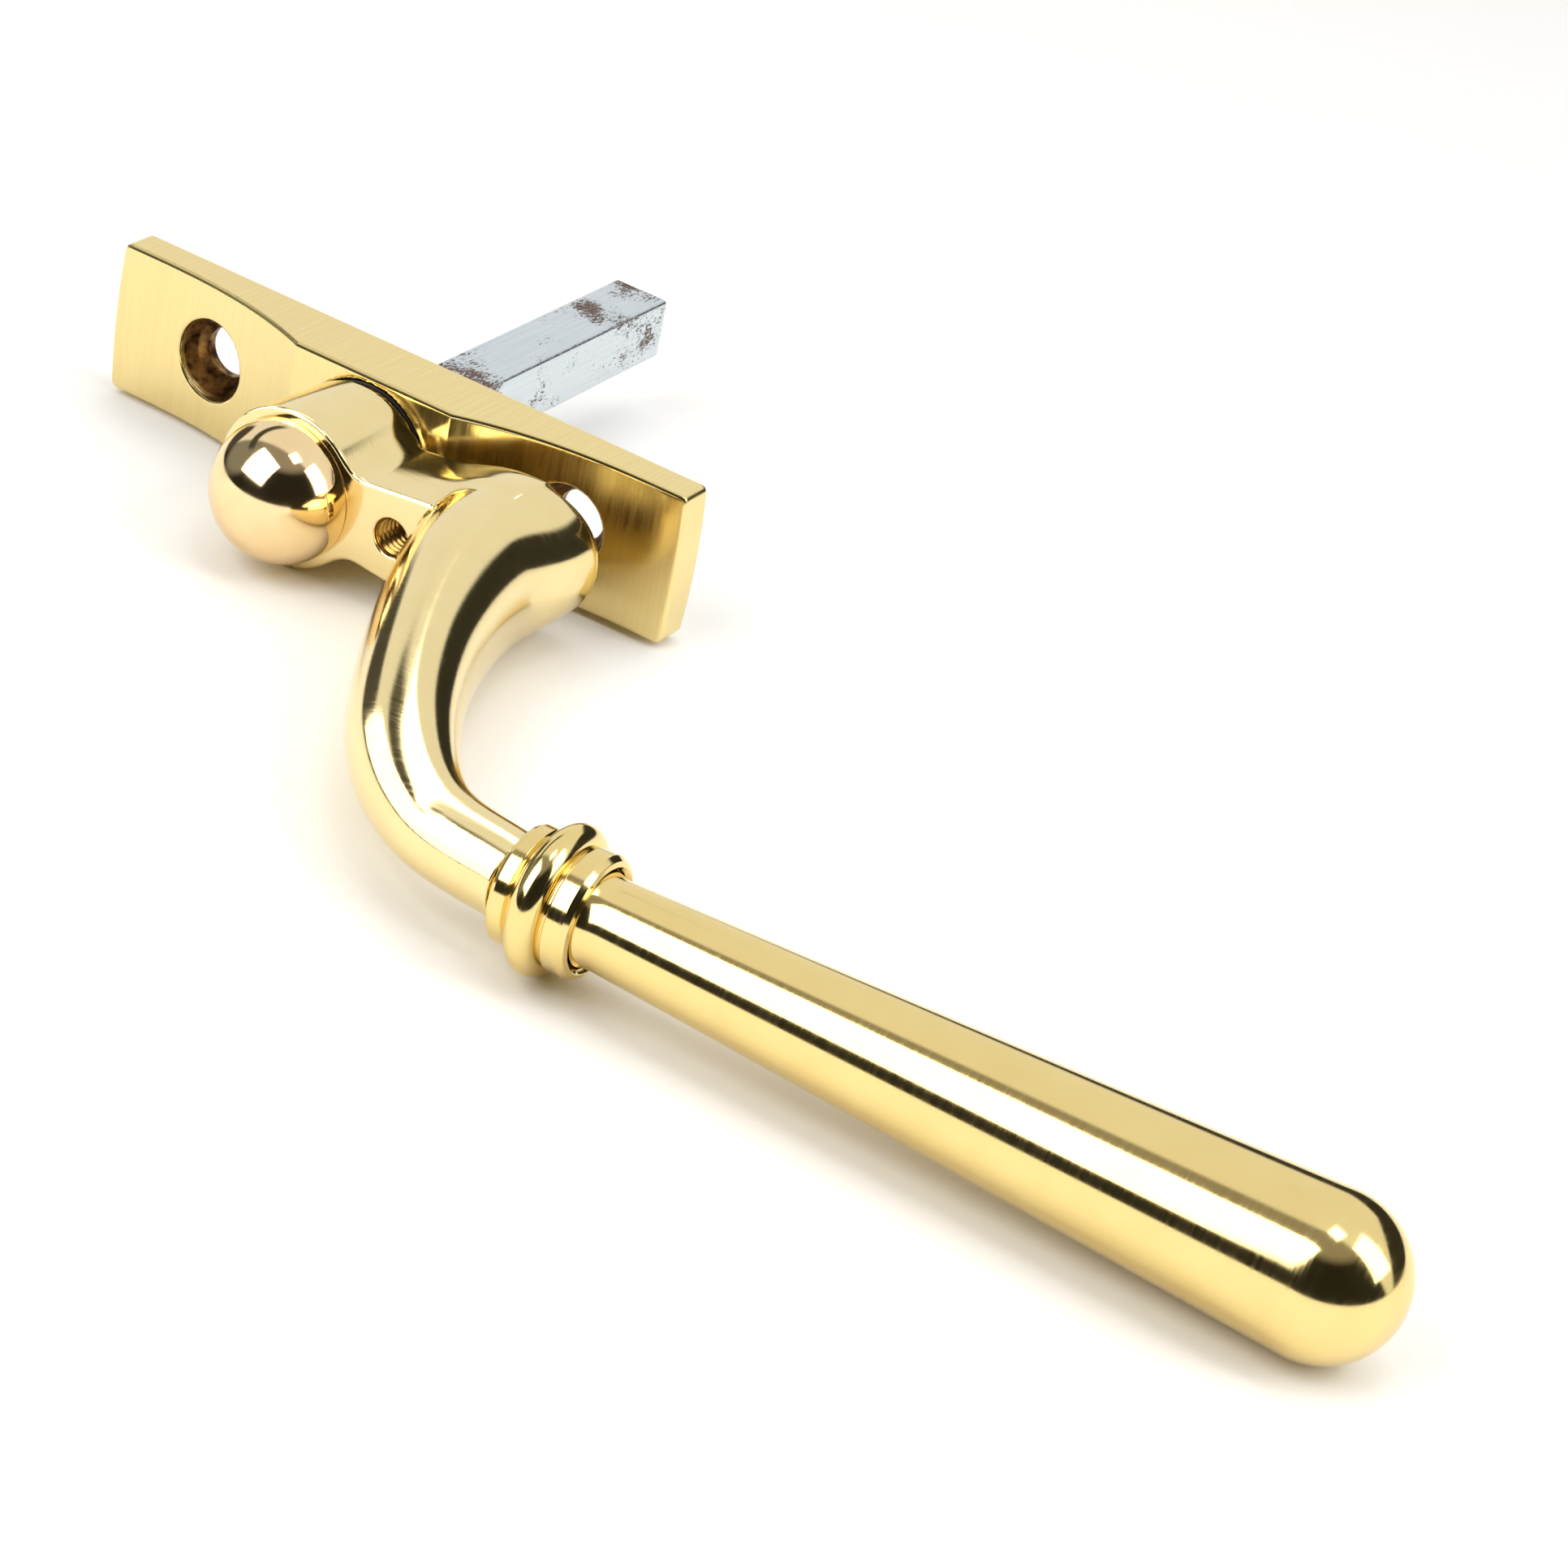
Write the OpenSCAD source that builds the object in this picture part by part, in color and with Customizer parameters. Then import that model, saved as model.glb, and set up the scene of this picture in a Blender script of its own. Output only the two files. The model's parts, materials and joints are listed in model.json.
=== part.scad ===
// Espagnolette window handle: back plate, turning lever and square drive bar.
// Origin: the turning axis where it meets the plate's back face.
// +X runs along the plate towards the grip, +Y into the window, +Z across the plate.
// All sizes are in millimetres.

/* [Back plate] */
// Overall length of the plate, over its bowed ends
plate_length = 72.7; // [60:0.1:90]
// Height of the plate, across its length
plate_height = 17; // [14:0.5:24]
// Thickness of the plate at its thin ends
plate_end_thickness = 4.1; // [3:0.1:6]
// Thickness of the raised middle that carries the lever
plate_boss_thickness = 8.3; // [7:0.1:12]
// Half length of the flat top of the raised middle
plate_boss_half = 10; // [8.5:0.5:14]
// Distance from the centre at which the hollow sweep has run out
plate_sweep_end = 33; // [24:0.5:34]
// How quickly the hollow sweep falls away from the raised middle
plate_sweep_power = 2.5; // [1.5:0.1:4]
// Radius of the bowed ends
plate_end_radius = 90; // [40:1:200]
// Distance between the two fixing holes
fixing_spacing = 45.8; // [40:0.1:60]
// Radius of a fixing hole at the back
fixing_hole_r = 2.75; // [2:0.05:3.5]
// Radius of a fixing hole's dished mouth
fixing_mouth_r = 4.45; // [3.5:0.05:5.5]

/* [Hub and web] */
// Radius of the hub at its front
hub_front_r = 8.6; // [8:0.1:11]
// Radius of the hub at its waist
hub_waist_r = 8.1; // [7.5:0.1:10]
// Radius of the hub's foot
hub_foot_r = 8.9; // [8:0.1:11]
// Distance of the hub's flat front from the plate's back face
hub_front = 21; // [18:0.1:26]
// Gap between the hub's foot and the raised middle
hub_foot_gap = 0.2; // [0.1:0.05:0.5]
// Half height of the web where it leaves the hub
web_half = 4.5; // [3.5:0.1:6]
// Half height of the web where it runs into the neck
web_half_end = 5.9; // [4.5:0.1:7]
// Distance of the web's back from the plate's back face
web_back = 9.9; // [9:0.1:12]
// Radius of the hollow corner between hub and web
web_corner_r = 2.5; // [1.5:0.5:6]
// Distance of the locking screw's hole from the turning axis
lock_hole_x = 13.1; // [11:0.1:15]
// Radius of the tapped hole's wall
lock_hole_r = 1.65; // [1.2:0.05:2.2]

/* [Neck] */
// Factor on the neck's width, seen along the turning axis
neck_width_scale = 1; // [0.8:0.05:1.2]
// Number of sections along the neck
neck_steps = 30; // [16:1:40]
// Number of sides of a neck section
neck_sides = 32; // [20:4:40]
// Squareness of the neck's sections at the heel (2 is an ellipse)
neck_square = 2.2; // [2:0.1:3]

/* [Grip] */
// Distance of the grip's axis from the plate's back face, above the turning axis
grip_stand_off = 63.93; // [50:0.01:75]
// Lean of the grip towards the plate, in degrees
grip_lean = 1.52; // [0:0.01:4]
// Where the collar starts along the grip's axis
collar_start = 57.9; // [50:0.1:65]
// Length of the collar
collar_length = 8.5; // [6:0.1:12]
// Largest radius of the collar's bead
collar_bead_r = 7.2; // [6:0.1:9]
// Radius of the collar's end rings
collar_ring_r = 5.65; // [4.5:0.05:7]
// Radius of the grip where it leaves the collar
grip_thin_r = 4.22; // [3.5:0.01:6]
// Radius of the grip where its round end begins
grip_thick_r = 7.42; // [6:0.01:10]
// Where the grip's round end begins along its axis
grip_round_start = 135.75; // [110:0.05:150]

/* [Drive bar and bearing] */
// Width across the flats of the square drive bar
bar_width = 7; // [5:0.5:9]
// How far the drive bar reaches past the plate's back face
bar_reach = 43.8; // [20:0.1:120]
// Radius of the lever's round tail, which turns in the plate
tail_r = 6; // [5.5:0.1:7]
// Running clearance between the tail and its bush
tail_clearance = 0.05; // [0.01:0.01:0.1]
// Radius of the domed cap at its base
dome_r = 7.55; // [6:0.05:9]
// Height of the domed cap over the hub's front
dome_height = 7.8; // [5:0.1:10]

/* [Hidden] */
$fn = 96;
brass = [0.88, 0.74, 0.38];
bronze = [0.93, 0.78, 0.58];
zinc = [0.66, 0.70, 0.74];
steel = [0.55, 0.56, 0.58];
nylon = [0.16, 0.16, 0.17];
plate_half_length = plate_length / 2;
boss_rise = plate_boss_thickness - plate_end_thickness - 0.1;
bush_flange_r = 7.7;
bush_r = 7;
pocket_depth = 4.4;
pocket_r = 7.3;
tail_end = 0.6;
groove_r = 5.5;
groove_back = 1.4;
groove_front = 2.3;
socket_end = 14.2;
pin_r = 1;
pin_y = -6.3;
spigot_r = 3.18;
spigot_end = 62;
stud_r = 2;
stud_start = 52.6;
stud_end = 76;
grip_start = collar_start + collar_length;

// Neck sections: distance along the arm, distance from the window, half width and half height.
neck_x = [22.6, 22.7, 23.8, 29.4, 37.4, 46.9, 57.8];
neck_y = [-9.9, -12.6, -23.2, -38.0, -51.8, -60.3, -62.4];
neck_w = [8.3, 8.3, 7.0, 5.8, 5.3, 4.4, 4.1];
neck_h = [6.5, 7.4, 7.8, 7.0, 5.8, 4.4, 4.1];

// Smooth curve through a list of values, with t running from 0 at the first to n at the last.
function curve(v, t) =
    let(n = len(v) - 1)
    let(i = min(floor(t), n - 1))
    let(f = t - i)
    let(a = v[i])
    let(b = v[i + 1])
    let(ma = i == 0 ? (v[1] - v[0]) : (v[i + 1] - v[i - 1]) / 2)
    let(mb = i == n - 1 ? (v[n] - v[n - 1]) : (v[i + 2] - v[i]) / 2)
    a * (1 - 3 * f * f + 2 * f * f * f) + b * (3 * f * f - 2 * f * f * f)
    + ma * (f - 2 * f * f + f * f * f) + mb * (f * f * f - f * f);

function ease(u) = u <= 0 ? 0 : (u >= 1 ? 1 : u * u * (3 - 2 * u));

// Direction of the neck at t, in degrees from +X, held square to its two end faces.
function neck_heading(t) =
    let(dx = curve(neck_x, min(t + 0.02, 6)) - curve(neck_x, max(t - 0.02, 0)))
    let(dy = curve(neck_y, min(t + 0.02, 6)) - curve(neck_y, max(t - 0.02, 0)))
    let(free = atan2(dy, dx))
    let(from_heel = ease(t / 1.3))
    let(to_collar = ease((t - 5.2) / 0.8))
    let(h = -90 * (1 - from_heel) + free * from_heel)
    h * (1 - to_collar) + grip_lean * to_collar;

function squash_r(p, e) = pow(pow(abs(cos(p)), e) + pow(abs(sin(p)), e), -1 / e);

function neck_point(t, p) =
    let(h = neck_heading(t))
    let(e = 2 + (neck_square - 2) * (1 - t / 6))
    let(r = squash_r(p, e))
    let(across = neck_width_scale * curve(neck_w, t) * r * cos(p))
    [curve(neck_x, t) - sin(h) * across, curve(neck_y, t) + cos(h) * across, curve(neck_h, t) * r * sin(p)];

// Front of the plate at distance x from its middle.
function plate_front(x) =
    let(left = max(plate_sweep_end - abs(x), 0) / (plate_sweep_end - plate_boss_half))
    -plate_end_thickness - boss_rise * pow(left, plate_sweep_power);

function grip_r(x) =
    let(u = (x - grip_start) / (grip_round_start - grip_start))
    grip_thin_r + (grip_thick_r - grip_thin_r) * (0.94 * u + 0.06 * u * u);

// A round bar along Y from y0 to y1, y0 being the lower value.
module bar_y(r, y0, y1) {
    translate([0, y1, 0])
        rotate([90, 0, 0])
            cylinder(r = r, h = y1 - y0);
}

// A turned shape about the Y axis, from a list of [radius, y] corners.
module turned_y(corners) {
    rotate([-90, 0, 0])
        rotate_extrude()
            polygon(corners);
}

// A turned shape about the grip's axis, from a list of [radius, x] corners.
module turned_grip(corners) {
    translate([0, -grip_stand_off, 0])
        rotate([0, 0, grip_lean])
            rotate([0, 90, 0])
                rotate_extrude()
                    polygon(corners);
}

// A round bar along the grip's axis from x0 to x1.
module bar_grip(r, x0, x1) {
    translate([0, -grip_stand_off, 0])
        rotate([0, 0, grip_lean])
            translate([x0, 0, 0])
                rotate([0, 90, 0])
                    cylinder(r = r, h = x1 - x0);
}

module back_plate() {
    steps = 14;
    run = plate_sweep_end - plate_boss_half;
    right = [for (i = [0:steps]) let(x = plate_boss_half + run * i / steps) [x, plate_front(x)]];
    left = [for (i = [0:steps]) [-right[steps - i][0], right[steps - i][1]]];
    reach = plate_half_length + 1;
    flat_top = [for (x = [-1, 1]) [x * (plate_boss_half - 0.1), -plate_boss_thickness]];
    color(brass)
    difference() {
        intersection() {
            translate([0, 0, -plate_height / 2])
                linear_extrude(height = plate_height)
                    polygon(concat([[-reach, 0], [-reach, -plate_end_thickness]], left, flat_top, right,
                                   [[reach, -plate_end_thickness], [reach, 0]]));
            translate([plate_half_length - plate_end_radius, 0, 0])
                bar_y(plate_end_radius, -20, 10);
            translate([plate_end_radius - plate_half_length, 0, 0])
                bar_y(plate_end_radius, -20, 10);
        }
        for (side = [-1, 1])
            translate([side * fixing_spacing / 2, 0, 0]) {
                bar_y(fixing_hole_r, -12, 1);
                turned_y([[0, -1.2], [fixing_hole_r, -1.2], [3.6, -2.1], [fixing_mouth_r, -3.7],
                          [fixing_mouth_r, -9], [0, -9]]);
            }
        bar_y(bush_r, -12, 1);
        bar_y(bush_flange_r + 0.05, -12, -plate_boss_thickness + 0.65);
        bar_y(pocket_r, -pocket_depth, 1);
    }
}

module plate_bush() {
    front = -plate_boss_thickness - 0.08;
    color(nylon)
    difference() {
        union() {
            bar_y(bush_r - 0.01, front, -pocket_depth - 0.05);
            bar_y(bush_flange_r, front, -plate_boss_thickness + 0.6);
        }
        bar_y(tail_r + tail_clearance, -12, 1);
    }
}

module spring_washer() {
    color(steel)
        turned_y([[6.35, -4.3], [6.95, -3.65], [6.95, -3.35], [6.35, -4.0]]);
}

module thrust_washer() {
    color(steel)
    difference() {
        bar_y(7, -3.2, -2.5);
        bar_y(6.3, -4, -1);
    }
}

module snap_ring() {
    color(steel)
    difference() {
        bar_y(6.85, -groove_front + 0.1, -groove_back - 0.1);
        bar_y(groove_r + 0.02, -4, 0);
        translate([0, -3, -1])
            cube([9, 3, 2]);
    }
}

module hub_body() {
    foot = -plate_boss_thickness - hub_foot_gap;
    turned_y([[0, -hub_front], [hub_front_r - 0.35, -hub_front], [hub_front_r, -hub_front + 0.35],
              [hub_waist_r, -11.4], [hub_waist_r + 0.25, -10.5], [hub_foot_r, -9.7],
              [hub_foot_r, foot - 0.3], [hub_foot_r - 0.3, foot], [0, foot]]);
    difference() {
        bar_y(tail_r, foot - 0.5, -tail_end);
        difference() {
            bar_y(tail_r + 1, -groove_front, -groove_back);
            bar_y(groove_r, -groove_front - 1, -groove_back + 1);
        }
    }
}

module web_body() {
    corner_z = web_half + web_corner_r;
    corner_x = sqrt(pow(hub_waist_r + web_corner_r, 2) - pow(corner_z, 2));
    span = hub_front - web_back;
    difference() {
        translate([0, -web_back, 0])
            rotate([90, 0, 0])
                linear_extrude(height = span)
                    polygon([[0, -corner_z * 0.7], [corner_x, -corner_z * 0.7], [corner_x, -web_half],
                             [21.5, -web_half_end], [21.5, web_half_end], [corner_x, web_half],
                             [corner_x, corner_z * 0.7], [0, corner_z * 0.7]]);
        for (side = [-1, 1])
            translate([corner_x, 0, side * corner_z])
                bar_y(web_corner_r, -30, 0);
    }
}

module neck_body() {
    rows = neck_steps;
    sides = neck_sides;
    points = [for (i = [0:rows]) for (j = [0:sides - 1]) neck_point(6 * i / rows, 360 * j / sides)];
    walls = [for (i = [0:rows - 1]) for (j = [0:sides - 1]) for (k = [0, 1])
             let(a = i * sides + j)
             let(b = i * sides + (j + 1) % sides)
             k == 0 ? [a, b + sides, b] : [a, a + sides, b + sides]];
    heel = [[for (j = [0:sides - 1]) j]];
    tip = [[for (j = [0:sides - 1]) rows * sides + sides - 1 - j]];
    polyhedron(points = points, faces = concat(walls, heel, tip), convexity = 6);
}

module lever_arm() {
    half = (bar_width + 0.04) / 2;
    color(brass)
    difference() {
        union() {
            hub_body();
            web_body();
            neck_body();
            bar_grip(spigot_r, collar_start - 1.5, spigot_end);
        }
        translate([-half, -socket_end, -half])
            cube([2 * half, socket_end + 1, 2 * half]);
        bar_y(3.02, -hub_front - 1, -16);
        translate([lock_hole_x, 0, 0]) {
            bar_y(lock_hole_r, -hub_front - 1, -web_back + 1);
            turned_y([[0, -hub_front - 1], [2.6, -hub_front - 1], [2.1, -hub_front],
                      [lock_hole_r, -hub_front + 0.5], [0, -hub_front + 0.5]]);
        }
        translate([0, pin_y, -8])
            cylinder(r = pin_r + 0.01, h = 16);
        bar_grip(stud_r + 0.01, stud_start - 0.4, 70);
    }
}

module dome_cap() {
    steps = 14;
    seat = -hub_front - 0.03;
    skirt = -hub_front - 0.55;
    rise = dome_height - 0.55;
    crown = [for (i = [1:steps]) [dome_r * cos(90 * i / steps), skirt - rise * sin(90 * i / steps)]];
    color(bronze)
        turned_y(concat([[0, -16.3], [2.7, -16.3], [3, -16.6], [3, seat], [dome_r, seat], [dome_r, skirt]],
                        crown));
}

module square_spindle() {
    half = bar_width / 2;
    cut = 0.35;
    color(zinc)
    difference() {
        translate([0, bar_reach, 0])
            rotate([90, 0, 0])
                linear_extrude(height = bar_reach + socket_end - 0.3)
                    polygon([[-half + cut, -half], [half - cut, -half], [half, -half + cut],
                             [half, half - cut], [half - cut, half], [-half + cut, half],
                             [-half, half - cut], [-half, -half + cut]]);
        translate([0, pin_y, -8])
            cylinder(r = pin_r + 0.01, h = 16);
    }
}

module spindle_pin() {
    color(steel)
    translate([0, pin_y, 0])
    difference() {
        translate([0, 0, -5.6])
            cylinder(r = pin_r, h = 11.2);
        translate([0, 0, -7])
            cylinder(r = pin_r * 0.55, h = 14);
        translate([0, -0.25, -7])
            cube([3, 0.5, 14]);
    }
}

module grip_collar() {
    s = collar_start;
    e = grip_start;
    mid = s + 3.95;
    bead = [for (i = [0:12]) [5.5 + (collar_bead_r - 5.5) * sin(15 * i), mid - 1.6 * cos(15 * i)]];
    left = [[spigot_r + 0.02, s + 0.02], [collar_ring_r - 0.5, s + 0.02], [collar_ring_r, s + 0.5],
            [collar_ring_r, s + 1.7], [collar_ring_r - 0.35, s + 2.1]];
    right = [[5.5, mid + 1.95], [5.9, mid + 2.1], [5.9, e - 0.8], [5.55, e - 0.25], [5.1, e - 0.05],
             [4.75, e - 0.5], [4.6, e - 1.3], [spigot_r + 0.02, e - 1.3]];
    color(brass)
        turned_grip(concat(left, bead, right));
}

module grip_bar() {
    steps = 16;
    turns = 14;
    s = grip_start;
    neck = [[0, spigot_end + 0.4], [spigot_r, spigot_end + 0.4], [spigot_r, s - 1.25], [4.5, s - 1.25],
            [4.5, s - 0.3], [grip_thin_r + 0.08, s + 0.4]];
    side = [for (i = [1:steps]) let(x = s + (grip_round_start - s) * i / steps) [grip_r(x), x]];
    crown = [for (i = [1:turns]) let(a = 90 * i / turns)
             [grip_thick_r * cos(a), grip_round_start + grip_thick_r * sin(a)]];
    color(brass)
    difference() {
        turned_grip(concat(neck, side, crown));
        bar_grip(stud_r + 0.01, spigot_end - 1, stud_end + 0.4);
    }
}

module grip_stud() {
    color(steel)
        bar_grip(stud_r, stud_start, stud_end);
}

back_plate();
plate_bush();
spring_washer();
thrust_washer();
snap_ring();
lever_arm();
dome_cap();
square_spindle();
spindle_pin();
grip_collar();
grip_bar();
grip_stud();
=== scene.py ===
# %% [markdown]
# # A brass espagnolette window handle, made as a lesson
# The handle is a cast brass lever on a small back plate. A steel bar comes out of the back of the plate and works
# the bolt inside the window. The CAD model has already fixed every size and every moving joint. Blender adds what
# CAD leaves out: soft foundry edges, fillets that flow, a real thread, and the finishes of polished metal.
# Everything is drawn in millimetres and turned to metres when a mesh is made, because a maker thinks in millimetres
# and Blender's frame is in metres.

import json
import math
import bpy
import bmesh
import numpy as np
from mathutils import Matrix, Vector

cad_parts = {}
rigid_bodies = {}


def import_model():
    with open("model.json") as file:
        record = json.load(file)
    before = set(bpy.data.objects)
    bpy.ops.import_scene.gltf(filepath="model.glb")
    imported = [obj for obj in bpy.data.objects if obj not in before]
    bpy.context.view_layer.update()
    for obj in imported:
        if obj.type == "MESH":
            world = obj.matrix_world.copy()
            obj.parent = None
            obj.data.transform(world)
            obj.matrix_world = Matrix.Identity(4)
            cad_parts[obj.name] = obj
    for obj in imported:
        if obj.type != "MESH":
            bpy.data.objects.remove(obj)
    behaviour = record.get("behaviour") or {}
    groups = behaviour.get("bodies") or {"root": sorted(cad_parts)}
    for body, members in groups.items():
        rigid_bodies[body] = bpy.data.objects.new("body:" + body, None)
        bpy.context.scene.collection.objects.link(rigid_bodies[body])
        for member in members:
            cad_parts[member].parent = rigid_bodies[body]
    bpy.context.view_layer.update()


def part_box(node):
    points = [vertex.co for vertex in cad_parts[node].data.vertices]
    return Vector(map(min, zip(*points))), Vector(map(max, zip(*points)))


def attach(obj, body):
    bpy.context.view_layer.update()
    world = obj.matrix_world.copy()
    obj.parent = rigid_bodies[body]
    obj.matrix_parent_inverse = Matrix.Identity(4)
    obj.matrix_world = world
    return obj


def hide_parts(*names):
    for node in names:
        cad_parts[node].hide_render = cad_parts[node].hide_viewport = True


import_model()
MM = 0.001


def box_mm(node):
    """Lowest and highest corners of a CAD node, in millimetres."""
    low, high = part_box(node)
    return np.array(low) / MM, np.array(high) / MM


plate_low, plate_high = box_mm("back_plate")
lever_low, lever_high = box_mm("lever_arm")
dome_low, dome_high = box_mm("dome_cap")
bar_low, bar_high = box_mm("square_spindle")
grip_low, grip_high = box_mm("grip_bar")
print("plate", (plate_high - plate_low).round(1), "mm; handle reaches x =", grip_high[0].round(1), "mm")

# %% [markdown]
# ## The eye
# A long lens held well back keeps the straight edges of the plate nearly parallel, as a shop catalogue shows such
# things. The camera looks from the room side, a little from the grip's end and from above, and it is rolled so that
# the handle runs down across the frame. Three angles and a lens say all of that, and they are easy to change.

# %% Camera
camera_place = Vector((0.20076, -0.31544, 0.18612))
camera_turn, camera_tip, camera_roll = 25.37, -30.51, 12.26
lens_mm = 90.85

lens_data = bpy.data.cameras.new("long_lens")
lens_data.lens, lens_data.sensor_width = lens_mm, 36.0
lens_data.clip_start, lens_data.clip_end = 0.01, 20.0
camera = bpy.data.objects.new("camera", lens_data)
aim = (Matrix.Rotation(math.radians(camera_turn), 4, "Z")
       @ Matrix.Rotation(math.radians(90 + camera_tip), 4, "X")
       @ Matrix.Rotation(math.radians(camera_roll), 4, "Z"))
camera.matrix_world = Matrix.Translation(camera_place) @ aim
bpy.context.collection.objects.link(camera)
bpy.context.scene.camera = camera
bpy.context.scene.view_settings.view_transform = "Standard"
print("camera right", [round(c, 3) for c in aim.col[0][:3]], "looks along", [round(-c, 3) for c in aim.col[2][:3]])

# %% [markdown]
# ## One helper for nodes, one for colour
# Materials below are small chains of nodes. A single function adds a node, sets its options and fills or links its
# sockets, so each recipe reads from top to bottom. Colours are written as the hex values that a paint chart shows,
# and one function turns them to the linear light values that a renderer needs.

# %% Node and colour helpers
def linear(hex_colour):
    """sRGB hex to linear RGBA."""
    parts = [int(hex_colour[i:i + 2], 16) / 255 for i in (1, 3, 5)]
    return tuple(c / 12.92 if c <= 0.04045 else ((c + 0.055) / 1.055) ** 2.4 for c in parts) + (1.0,)


def add(tree, kind, sockets=None, **options):
    """Add a node. Options are its own settings; sockets are numbers, colours or links."""
    node = tree.nodes.new(kind)
    for name, value in options.items():
        setattr(node, name, value)
    for key, value in (sockets or {}).items():
        if isinstance(value, bpy.types.NodeSocket):
            tree.links.new(value, node.inputs[key])
        else:
            node.inputs[key].default_value = value
    return node


def new_finish(name):
    """An empty material with its output, ready for a recipe. Gives the tree and the object's own coordinates."""
    finish = bpy.data.materials.new(name)
    finish.use_nodes = True
    finish.node_tree.nodes.clear()
    place = add(finish.node_tree, "ShaderNodeTexCoord").outputs["Object"]
    return finish, finish.node_tree, place


def coat(tree, shader, bump=None):
    """Wire a Principled shader, and a bump if there is one, to the output."""
    if bump is not None:
        tree.links.new(bump.outputs["Normal"], shader.inputs["Normal"])
    add(tree, "ShaderNodeOutputMaterial", {"Surface": shader.outputs["BSDF"]})


def per_mm(size_mm):
    """Noise scale, in repeats per metre, that gives marks of this size."""
    return 1.0 / (size_mm * MM)


print("pale brass is", [round(c, 2) for c in linear("#f3dfa8")[:3]], "in linear light")

# %% [markdown]
# ## Polished cast brass
# The lever is sand-cast brass, ground and then buffed on a mop. Buffing leaves a mirror that is never quite flat:
# the metal dips by a few microns over some millimetres, and hair-fine scratches follow the stroke of the mop. To
# the eye that is a pale gold mirror with soft waves and a slightly milky bloom. Real scratches are a hundredth of a
# millimetre wide, far too fine to show, so they are drawn about a fifth of a millimetre wide.

# %% Brass recipe shared by the buffed pieces
def buffed_metal(name, colour, stain, rough, stroke, wave_mm=7.0, wave_depth=0.012, scratch_depth=0.0012):
    """Buffed metal whose scratches run along the axis that has the long stroke. Depths are in millimetres."""
    finish, tree, place = new_finish(name)
    waves = add(tree, "ShaderNodeTexNoise", {"Vector": place, "Scale": per_mm(wave_mm), "Detail": 1.0})
    along = add(tree, "ShaderNodeVectorMath", {0: place, 1: [per_mm(s) for s in stroke]}, operation="MULTIPLY")
    hairs = add(tree, "ShaderNodeTexNoise",
            {"Vector": along.outputs[0], "Scale": 1.0, "Detail": 3.0, "Roughness": 0.7})
    bloom = add(tree, "ShaderNodeTexNoise", {"Vector": place, "Scale": per_mm(4.0), "Detail": 5.0})
    tint = add(tree, "ShaderNodeMix",
            {"Factor": bloom.outputs["Fac"], 6: linear(colour), 7: linear(stain)}, data_type="RGBA")
    gloss = add(tree, "ShaderNodeMapRange", {"Value": hairs.outputs["Fac"], "From Min": 0.35, "From Max": 0.75,
                                             "To Min": rough, "To Max": rough + 0.09})
    deep = add(tree, "ShaderNodeBump",
            {"Height": waves.outputs["Fac"], "Distance": wave_depth * MM, "Strength": 1.0})
    fine = add(tree, "ShaderNodeBump", {"Height": hairs.outputs["Fac"], "Distance": scratch_depth * MM,
                                        "Strength": 1.0, "Normal": deep.outputs["Normal"]})
    metal = add(tree, "ShaderNodeBsdfPrincipled",
            {"Base Color": tint.outputs[2], "Metallic": 1.0, "Roughness": gloss.outputs["Result"]})
    coat(tree, metal, fine)
    return finish


cast_brass = buffed_metal("polished_cast_brass", "#f3dfa8", "#ebd599", 0.07, (5.0, 0.22, 1.6), scratch_depth=0.0035)
turned_brass = buffed_metal("polished_turned_brass", "#f0d996", "#e8ce88", 0.08, (0.25, 6.0, 6.0),
                            wave_mm=14.0, wave_depth=0.010, scratch_depth=0.0009)
print("made", cast_brass.name, "and", turned_brass.name)

# %% [markdown]
# ## Ground brass for the back plate
# The plate is finished on a belt, across its length, and then only lightly mopped. The short grinding lines stay
# visible as a silky grain, on the face and on the edges. Inside the two countersunk fixing holes nobody polishes,
# so the metal has gone brown. The recipe takes the brass above, makes the grain stronger, and mixes in the brown
# wherever a point lies closer to a hole's axis than the bright lip does, but not on the back face.

# %% Plate finish with tarnished holes
fixing_hole_x = 22.9
dish_radius = 4.45


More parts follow.
